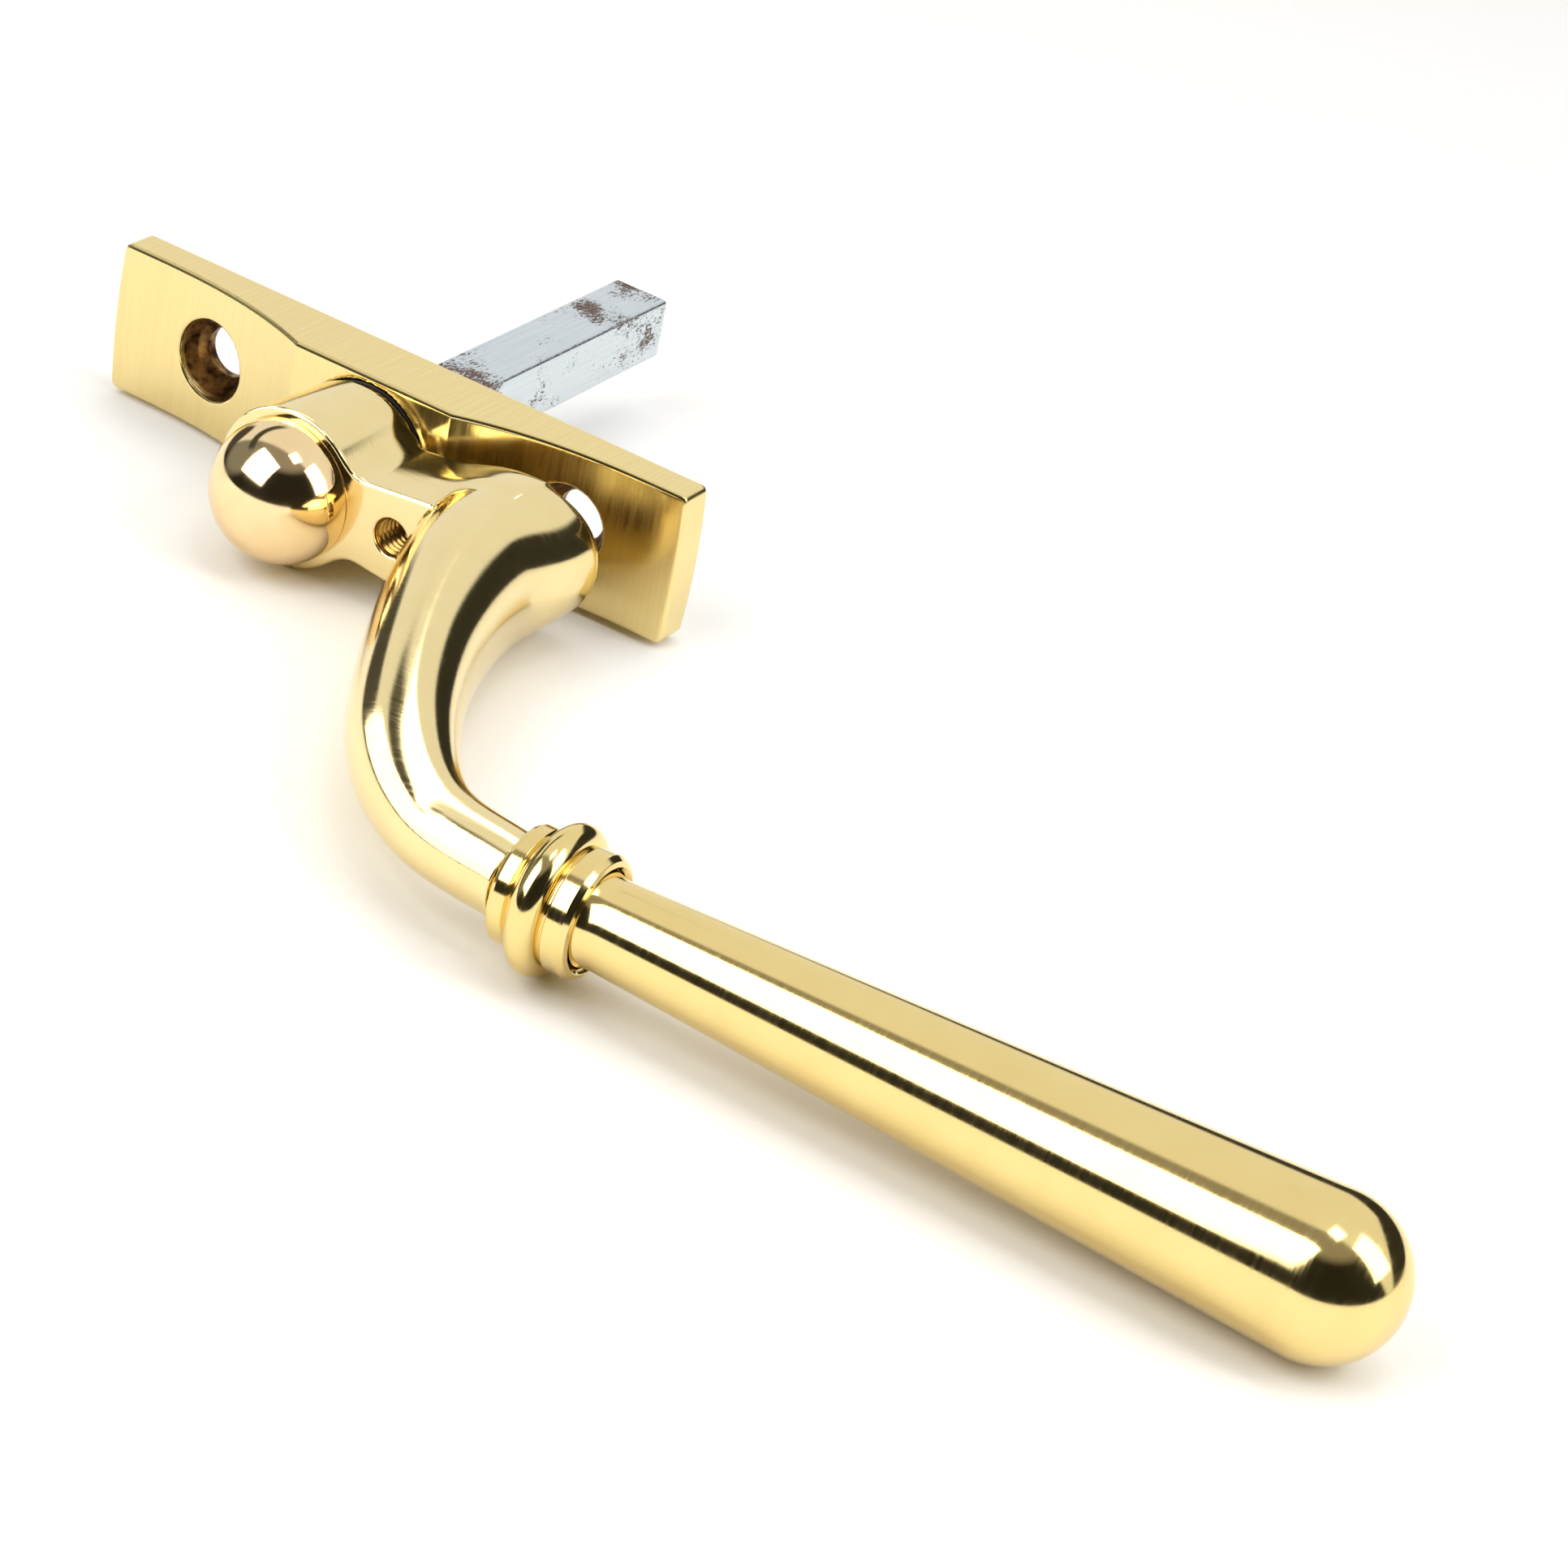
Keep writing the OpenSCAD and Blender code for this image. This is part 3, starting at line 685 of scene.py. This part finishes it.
# %% Threaded sleeve
pitch = 0.7
thread_minor = 1.65
tapped = buffed_metal("tapped_brass", "#cfa860", "#8a6a34", 0.2, (0.4, 0.4, 0.4), scratch_depth=0.004)
turns, steps_down = 96, 220
down = np.linspace(-hub_front + 0.25, -web_back - 0.1, steps_down)
angle = np.arange(turns) * 2 * math.pi / turns
wave = 0.5 - 0.5 * np.cos(2 * math.pi * (down[:, None] / pitch + angle[None] / (2 * math.pi)))
thread_r = thread_minor + (thread_major - thread_minor) * wave ** 0.8
mouth_r = np.minimum(thread_minor + 0.45 - 0.8 * (down + hub_front - 0.25), thread_major)
thread_r = np.maximum(thread_r, mouth_r[:, None])
wall_r = np.full((2, turns), thread_major + 0.03)
ring_y = np.concatenate([down, down[[-1, 0]]])
ring_r = np.concatenate([thread_r, wall_r])
sleeve_points = np.stack([screw_hole_x + ring_r * np.cos(angle), np.repeat(ring_y[:, None], turns, 1),
                          ring_r * np.sin(angle)], -1)
rows, columns = len(ring_y), turns


def wrapped_quads(rows, columns, close_rows=True):
    """Quads of a sheet that closes on itself, with numbers row * columns + column."""
    i, j = np.meshgrid(np.arange(rows if close_rows else rows - 1), np.arange(columns), indexing="ij")
    i2, j2 = (i + 1) % rows, (j + 1) % columns
    return np.stack([i * columns + j, i2 * columns + j, i2 * columns + j2, i * columns + j2], -1).reshape(-1, 4)


def facing(points, quads, normals):
    """Turn the quads over if they face against their normals."""
    a, b = points[quads[:, 2]] - points[quads[:, 0]], points[quads[:, 3]] - points[quads[:, 1]]
    return quads if (np.cross(a, b) * normals[quads[:, 0]]).sum() > 0 else quads[:, ::-1]


leads = np.gradient(thread_r, down, axis=0)
twist = np.gradient(np.concatenate([thread_r[:, -1:], thread_r, thread_r[:, :1]], 1), 2 * math.pi / turns,
                    axis=1)[:, 1:-1] / thread_r
inner_n = np.stack([-np.cos(angle) - twist * np.sin(angle), leads, -np.sin(angle) + twist * np.cos(angle)], -1)
outer_n = np.broadcast_to(np.stack([np.cos(angle), 0 * angle, np.sin(angle)], -1), (2, turns, 3))
sleeve_n = np.concatenate([inner_n, outer_n]).reshape(-1, 3)
sleeve_n /= np.linalg.norm(sleeve_n, axis=1)[:, None]
flat_points = sleeve_points.reshape(-1, 3)
sleeve_quads = facing(flat_points, wrapped_quads(rows, columns), sleeve_n)
sleeve = show("lock_hole_thread", flat_points, sleeve_quads, sleeve_n, tapped, "lever")

# %% [markdown]
# ## Turning on a lathe
# Dome, collar and grip are turned work: each is an outline spun round an axis. An outline is a list of corners, and
# no real corner is sharp, so each one is swapped for a small arc. The normals come from the outline's own
# direction, so flat parts stay flat right up to their worn edges. Corners that turn by less than 12 degrees are
# taken as points of a smooth curve.

# %% Outline and lathe
def worn_outline(corners, wear, steps=6):
    """Corners (along, radius) to points and outward normals, with an arc of radius wear at each sharp corner."""
    c = np.array(corners, float)
    area = 0.5 * np.sum(c[:, 0] * np.roll(c[:, 1], -1) - np.roll(c[:, 0], -1) * c[:, 1])
    side = 1.0 if area > 0 else -1.0
    points, normals = [], []
    for i in range(len(c)):
        into, out = c[i] - c[i - 1], c[(i + 1) % len(c)] - c[i]
        long_in, long_out = np.linalg.norm(into), np.linalg.norm(out)
        a1 = math.atan2(into[1], into[0])
        turn = (math.atan2(out[1], out[0]) - a1 + math.pi) % (2 * math.pi) - math.pi
        if c[i, 1] < 1e-6:
            on_axis = out if c[i - 1, 1] < 1e-6 else into
            a = math.atan2(on_axis[1], on_axis[0])
            points.append(c[i])
            normals.append((side * math.sin(a), -side * math.cos(a)))
        elif abs(turn) < math.radians(12):
            a = a1 + turn * long_in / (long_in + long_out)
            points.append(c[i])
            normals.append((side * math.sin(a), -side * math.cos(a)))
        else:
            bend = min(wear, 0.45 * min(long_in, long_out) / math.tan(abs(turn) / 2))
            begin = c[i] - into / long_in * bend * math.tan(abs(turn) / 2)
            r = bend * math.copysign(1.0, turn)
            for s in np.linspace(0, 1, steps + 1):
                a = a1 + s * turn
                points.append(begin + r * np.array([math.sin(a) - math.sin(a1), math.cos(a1) - math.cos(a)]))
                normals.append((side * math.sin(a), -side * math.cos(a)))
    return np.array(points), np.array(normals)


def turn_on_lathe(name, corners, wear, origin, axis, finish, body, node, around=192, closed=False):
    """Spin an outline round an axis. A closed outline is a ring; an open one starts and ends on the axis."""
    outline, out = worn_outline(corners, wear)
    axis = np.array(axis, float) / np.linalg.norm(axis)
    e1 = np.cross(axis, (0.0, 0.0, 1.0))
    e1 /= np.linalg.norm(e1)
    e2 = np.cross(axis, e1)
    spin = np.arange(around) * 2 * math.pi / around
    spokes = np.cos(spin)[:, None] * e1 + np.sin(spin)[:, None] * e2
    body_rows = outline if closed else outline[1:-1]
    row_n = out if closed else out[1:-1]
    points = (np.array(origin) + body_rows[:, None, :1] * axis + body_rows[:, None, 1:] * spokes).reshape(-1, 3)
    normals = (row_n[:, None, :1] * axis + row_n[:, None, 1:] * spokes).reshape(-1, 3)
    quads = facing(points, wrapped_quads(len(body_rows), around, closed), normals)
    faces = quads.tolist()
    if not closed:
        middle = outline[:, 0].mean()
        for first, tip in ((0, outline[0]), ((len(body_rows) - 1) * around, outline[-1])):
            pole = len(points)
            points = np.vstack([points, np.array(origin) + tip[0] * axis])
            near = points[first] - points[pole]
            beside = points[first + 1] - points[pole]
            along = np.sign(np.dot(normals[first:first + around].mean(0), axis)) or np.sign(tip[0] - middle)
            normals = np.vstack([normals, along * axis])
            right_way = np.dot(np.cross(near, beside), along * axis) > 0
            for j in range(around):
                wedge = [pole, first + j, first + (j + 1) % around]
                faces.append(wedge if right_way else wedge[::-1])
    return show(name, points, faces, normals, finish, body, node)


print("a worn corner has", len(worn_outline([(0, 1), (1, 1), (1, 2), (0, 2)], 0.1)[0]) // 4, "points")

# %% [markdown]
# ## The dome
# The dome is a separate turned button with a spigot that is pressed into the hub, so a fine dark line runs round
# its foot. Its face is the half of an ellipsoid that is almost a ball. The curve is sampled every three degrees.

# %% Dome
dome_seat = hub_front + 0.03
dome_radius = dome_high[0]
skirt = dome_seat + 0.52
rise = -dome_low[1] - skirt
dome_corners = [(16.3, 0.0), (16.3, 3.0), (dome_seat, 3.0), (dome_seat, dome_radius), (skirt, dome_radius)]
dome_corners += [(skirt + rise * math.sin(a), dome_radius * math.cos(a))
                 for a in map(math.radians, range(3, 90, 3))]
dome_corners += [(skirt + rise, 0.0)]
dome = turn_on_lathe("dome_cap_turned", dome_corners, 0.12, (0, 0, 0), (0, -1, 0), dome_bronze, "lever", "dome_cap")

# %% [markdown]
# ## The collar
# The collar hides the joint of neck and grip. From the neck it has a small ring, a hollow, a full round bead, a
# second hollow and a narrow band, and its far face is dished where the grip comes out. Those hollows are what makes
# turned brass sparkle, so their corners are kept tight, at a tenth of a millimetre.

# %% Collar
grip_axis = (math.cos(grip_lean), math.sin(grip_lean), 0.0)
axis_origin = (0.0, grip_axis_y, 0.0)
bead = [(61.85 - 1.6 * math.cos(math.radians(a)), 5.5 + 1.69 * math.sin(math.radians(a))) for a in range(0, 181, 5)]
collar_corners = [(57.92, 3.2), (57.92, 5.15), (58.05, 5.5), (58.4, 5.65), (59.6, 5.65), (60.0, 5.3)] + bead
collar_corners += [(63.8, 5.5), (63.95, 5.9), (65.6, 5.9), (66.15, 5.55), (66.35, 5.1), (65.9, 4.75), (65.1, 4.6),
                   (65.1, 3.2)]
collar = turn_on_lathe("grip_collar_turned", collar_corners, 0.12, axis_origin, grip_axis, turned_brass, "lever",
                       "grip_collar", closed=True)

# %% [markdown]
# ## The grip
# The grip is one turned bar that grows slowly from the collar to its round end, so it is an outline too. Its side
# is a very slight curve, not a straight cone, and it runs into the ball of the end without a step. Inside the
# collar it has a shoulder, and a bore for the stud that holds it to the neck.

# %% Grip
grip_start, grip_round_start = 66.4, 135.75
grip_thin_r, grip_thick_r = 4.22, 7.41


def grip_r(x):
    u = (x - grip_start) / (grip_round_start - grip_start)
    return grip_thin_r + (grip_thick_r - grip_thin_r) * (0.94 * u + 0.06 * u * u)


grip_corners = [(76.4, 0.0), (76.4, 2.01), (62.4, 2.01), (62.4, 3.18), (65.15, 3.18), (65.15, 4.5), (66.1, 4.5)]
grip_corners += [(66.1 + 1.4 * u, 4.26 + 0.24 * (1 - u) ** 2) for u in np.linspace(0.1, 1.0, 8)]
grip_corners += [(x, grip_r(x)) for x in np.linspace(68.2, grip_round_start - 1.2, 48)]
grip_corners += [(grip_round_start + grip_thick_r * math.sin(a), grip_thick_r * math.cos(a))
                 for a in map(math.radians, range(-2, 90, 3))]
grip_corners += [(grip_round_start + grip_thick_r, 0.0)]
grip = turn_on_lathe("grip_bar_turned", grip_corners, 0.12, axis_origin, grip_axis, turned_brass, "lever",
                     "grip_bar")

# %% [markdown]
# ## The square bar
# The bar is drawn through a square die, so its four long edges are rounded by nearly half a millimetre and its sawn
# ends are only eased. It is a stack of rounded squares. At each end the squares shrink through a quarter circle,
# and the end itself is one flat face.

# %% Square bar
bar_half = bar_high[0]
corner_r = 0.45
fan = np.radians(np.arange(0, 91, 15))
ring_n = np.concatenate([np.stack([np.cos(fan + q * math.pi / 2), np.sin(fan + q * math.pi / 2)], 1)
                         for q in range(4)])
ring_c = np.repeat([(1, 1), (-1, 1), (-1, -1), (1, -1)], len(fan), axis=0) * (bar_half - corner_r)
bar_points, bar_normals = [], []
ease = 0.3
for end_y, into in ((bar_low[1], 1.0), (bar_high[1], -1.0)):
    stations = np.radians(np.arange(0, 91, 15))
    for a in stations if into > 0 else stations[::-1]:
        inset = ease * (1 - math.sin(a))
        ring = ring_c + ring_n * (corner_r - inset)
        y = end_y + into * ease * (1 - math.cos(a))
        bar_points.append(np.stack([ring[:, 0], np.full(len(ring), y), ring[:, 1]], 1))
        bar_normals.append(np.stack([ring_n[:, 0] * math.sin(a), np.full(len(ring), -into * math.cos(a)),
                                     ring_n[:, 1] * math.sin(a)], 1))
bar_rows, bar_columns = len(bar_points), len(ring_n)
bar_points, bar_normals = np.concatenate(bar_points), np.concatenate(bar_normals)
bar_quads = facing(bar_points, wrapped_quads(bar_rows, bar_columns, False), bar_normals).tolist()
first_ring = list(range(bar_columns))
last_ring = [(bar_rows - 1) * bar_columns + j for j in range(bar_columns)]
bar_faces = bar_quads + [first_ring, last_ring[::-1]]
spindle = show("square_spindle_drawn", bar_points, bar_faces, bar_normals, zinc, "lever", "square_spindle")

# %% [markdown]
# ## The table
# The handle lies on its lower side on a white sheet: the front edge of the hub touches at one end and the belly of
# the grip at the other. The grip is thinner than the hub, so the sheet leans by about 1.7 degrees in the handle's
# frame. The lean is worked out from those two touching places, and the sheet lies a hair below them.

# %% Table
hub_touch = np.array([-hub_front, -hub_r])
grip_touch = np.array([grip_axis_y + math.tan(grip_lean) * grip_round_start, grip_low[2]])
table_gap = 0.05
table_slope = (grip_touch[1] - hub_touch[1]) / (grip_touch[0] - hub_touch[0])
sheet_mesh = bpy.data.meshes.new("white_table")
build = bmesh.new()
bmesh.ops.create_grid(build, x_segments=8, y_segments=8, size=3.0)
for v in build.verts:
    v.co.z = (hub_touch[1] - table_gap) * MM + table_slope * (v.co.y - hub_touch[0] * MM)
build.to_mesh(sheet_mesh)
build.free()
paper, tree, place = new_finish("white_paper_sheet")
fibre = add(tree, "ShaderNodeTexNoise", {"Vector": place, "Scale": per_mm(1.5), "Detail": 4.0})
paper_tint = add(tree, "ShaderNodeMix",
        {"Factor": fibre.outputs["Fac"], 6: linear("#fbfaf8"), 7: linear("#f8f7f4")}, data_type="RGBA")
paper_tooth = add(tree, "ShaderNodeBump", {"Height": fibre.outputs["Fac"], "Distance": 0.01 * MM})
paper_shader = add(tree, "ShaderNodeBsdfPrincipled",
        {"Base Color": paper_tint.outputs[2], "Roughness": 0.95, "Specular IOR Level": 0.1})
coat(tree, paper_shader, paper_tooth)
sheet_mesh.materials.append(paper)
table = bpy.data.objects.new("white_table", sheet_mesh)
bpy.context.collection.objects.link(table)
print("table leans", round(math.degrees(math.atan(table_slope)), 2), "degrees")

# %% [markdown]
# ## The light
# A mirror shows what is round it, so polished brass is lit by its surroundings more than by its lamps. The studio
# is a sheet of white paper that sweeps up behind the handle, a dark room in front with the camera in it, and three
# soft boxes. The boxes give the crisp white shapes, the dark room gives the dark bands between them, and the paper
# gives the broad pale gold. Two dark patches that overlap low in the paper, like an open doorway behind the grip's
# end, draw the long dark band down the neck. A thin dark gap high on the left and a dark post below it keep the
# edges of the light on the neck crisp. A flag keeps the main box off the plate, whose rounded edge then shows as a
# dark line. The room and the paper are painted on the world by direction.

# %% Studio surroundings
studio = bpy.data.worlds.new("studio")
studio.use_nodes = True
tree = studio.node_tree
tree.nodes.clear()
way = add(tree, "ShaderNodeTexCoord").outputs["Generated"]


def towards(turn, tip):
    """Direction by degrees: turn 0 is towards the room, positive towards the grip's end; tip is upwards."""
    t, e = math.radians(turn), math.radians(tip)
    return Vector((math.sin(t) * math.cos(e), -math.cos(t) * math.cos(e), math.sin(e)))


def cos_degrees(angle):
    return math.cos(math.radians(angle))


def patch(direction, start, end):
    """A soft-edged mask that rises from start to end of the dot product with a direction."""
    dot = add(tree, "ShaderNodeVectorMath", {0: way, 1: tuple(direction)}, operation="DOT_PRODUCT")
    return add(tree, "ShaderNodeMapRange", {"Value": dot.outputs["Value"], "From Min": start, "From Max": end},
               interpolation_type="SMOOTHSTEP").outputs["Result"]


sweep = patch((0.0, 1.0, 0.35), 0.20, 0.30)
side_wall = patch(towards(-75, 32), cos_degrees(34), cos_degrees(22))
ceiling = patch((0.0, 0.0, 1.0), 0.72, 0.88)
room = add(tree, "ShaderNodeMix",
        {"Factor": side_wall, 6: (0.022, 0.021, 0.017, 1), 7: (0.26, 0.27, 0.25, 1)}, data_type="RGBA")
with_ceiling = add(tree, "ShaderNodeMix",
        {"Factor": ceiling, 6: room.outputs[2], 7: (0.33, 0.31, 0.28, 1)}, data_type="RGBA")
door_a, door_b = (patch(towards(turn, tip), cos_degrees(36), cos_degrees(32))
                  for turn, tip in ((150, -4), (170, -9)))
doorway = add(tree, "ShaderNodeMath", {0: door_a, 1: door_b}, operation="MAXIMUM").outputs[0]
paper_wall = add(tree, "ShaderNodeMix",
        {"Factor": doorway, 6: (0.95, 0.95, 0.94, 1), 7: (0.035, 0.034, 0.028, 1)}, data_type="RGBA")
with_sweep = add(tree, "ShaderNodeMix",
        {"Factor": sweep, 6: with_ceiling.outputs[2], 7: paper_wall.outputs[2]}, data_type="RGBA")
height = add(tree, "ShaderNodeSeparateXYZ", {0: way}).outputs["Z"]
above_gap = add(tree, "ShaderNodeMapRange", {"Value": height, "From Min": 0.69, "From Max": 0.71}).outputs["Result"]
below_gap = add(tree, "ShaderNodeMapRange", {"Value": height, "From Min": 0.59, "From Max": 0.56}).outputs["Result"]
outside_gap = add(tree, "ShaderNodeMath", {0: above_gap, 1: below_gap}, operation="MAXIMUM")
gap_length = patch(towards(-106, 40), cos_degrees(30), cos_degrees(20))
gap = add(tree, "ShaderNodeMath", {0: gap_length, 1: outside_gap.outputs[0]}, operation="SUBTRACT", use_clamp=True)
post = patch(towards(-111, 7), cos_degrees(15), cos_degrees(11))
gap = add(tree, "ShaderNodeMath", {0: gap.outputs[0], 1: post}, operation="MAXIMUM")
with_gap = add(tree, "ShaderNodeMix",
        {"Factor": gap.outputs[0], 6: with_sweep.outputs[2], 7: (0.075, 0.072, 0.062, 1)}, data_type="RGBA")
glow = add(tree, "ShaderNodeBackground", {"Color": with_gap.outputs[2], "Strength": 1.0})
add(tree, "ShaderNodeOutputWorld", {"Surface": glow.outputs[0]})
bpy.context.scene.world = studio
print("world has", len(tree.nodes), "nodes")

# %% Soft boxes
box_distance = 0.6
box_centre = Vector((0.0, -0.0215, 0.0))


def soft_box(name, middle, turn, tip, wide_degrees, high_degrees, brightness, distance=box_distance):
    """A soft box that faces a spot and looks this many degrees wide and high from there."""
    lamp = bpy.data.lights.new(name, "AREA")
    lamp.shape = "RECTANGLE"
    lamp.size = 2 * distance * math.tan(math.radians(wide_degrees / 2))
    lamp.size_y = 2 * distance * math.tan(math.radians(high_degrees / 2))
    lamp.energy = brightness * math.pi * lamp.size * lamp.size_y
    box = bpy.data.objects.new(name, lamp)
    direction = towards(turn, tip)
    box.matrix_world = (Matrix.Translation(middle + direction * distance)
                        @ direction.to_track_quat("Z", "Y").to_matrix().to_4x4())
    bpy.context.collection.objects.link(box)
    return box


main_box = soft_box("main_soft_box", box_centre, -27, 43, 44, 42, 3.6)
soft_box("side_soft_box", box_centre, 98, 35, 24, 40, 2.6)
soft_box("top_soft_box", box_centre, 74, 75, 14, 16, 3.0)
off_plate = bpy.data.collections.new("lit_by_main_box")
for piece in bpy.context.scene.objects:
    if piece.type == "MESH" and piece is not plate:
        off_plate.objects.link(piece)
main_box.light_linking.receiver_collection = off_plate
print("main box is", round(main_box.data.size, 2), "by", round(main_box.data.size_y, 2), "m")

# %% [markdown]
# ## Strip lights for the neck
# Studios often add narrow lights for one awkward shape. The neck curls away from the three boxes, so it has a wide
# window on its outer side and a thin strip above that. They are linked to the lever only, as if small flags kept
# them off the dome and the plate.

# %% Window and strip for the neck
neck_middle = Vector((0.042, -0.055, 0.0))
curl_only = bpy.data.collections.new("lit_by_neck_lights")
curl_only.objects.link(lever)
neck_window = soft_box("neck_window", neck_middle, -64, 20, 72, 34, 2.4)
neck_strip = soft_box("neck_strip", neck_middle, -112, 51, 64, 9, 3.0)
for lamp in (neck_window, neck_strip):
    lamp.light_linking.receiver_collection = curl_only

# %% [markdown]
# ## Even light on the table
# The boxes alone leave the far side of the table grey. A broad panel overhead evens it out. It is hidden from
# glossy rays, because in a real studio it would be flagged off the metal.

# %% Overhead panel
overhead = soft_box("overhead_panel", Vector((0.15, 0.45, 0.0)), 0, 90, 90, 90, 0.36, distance=1.0)
overhead.visible_glossy = False
print("overhead panel is", round(overhead.data.size, 2), "m square")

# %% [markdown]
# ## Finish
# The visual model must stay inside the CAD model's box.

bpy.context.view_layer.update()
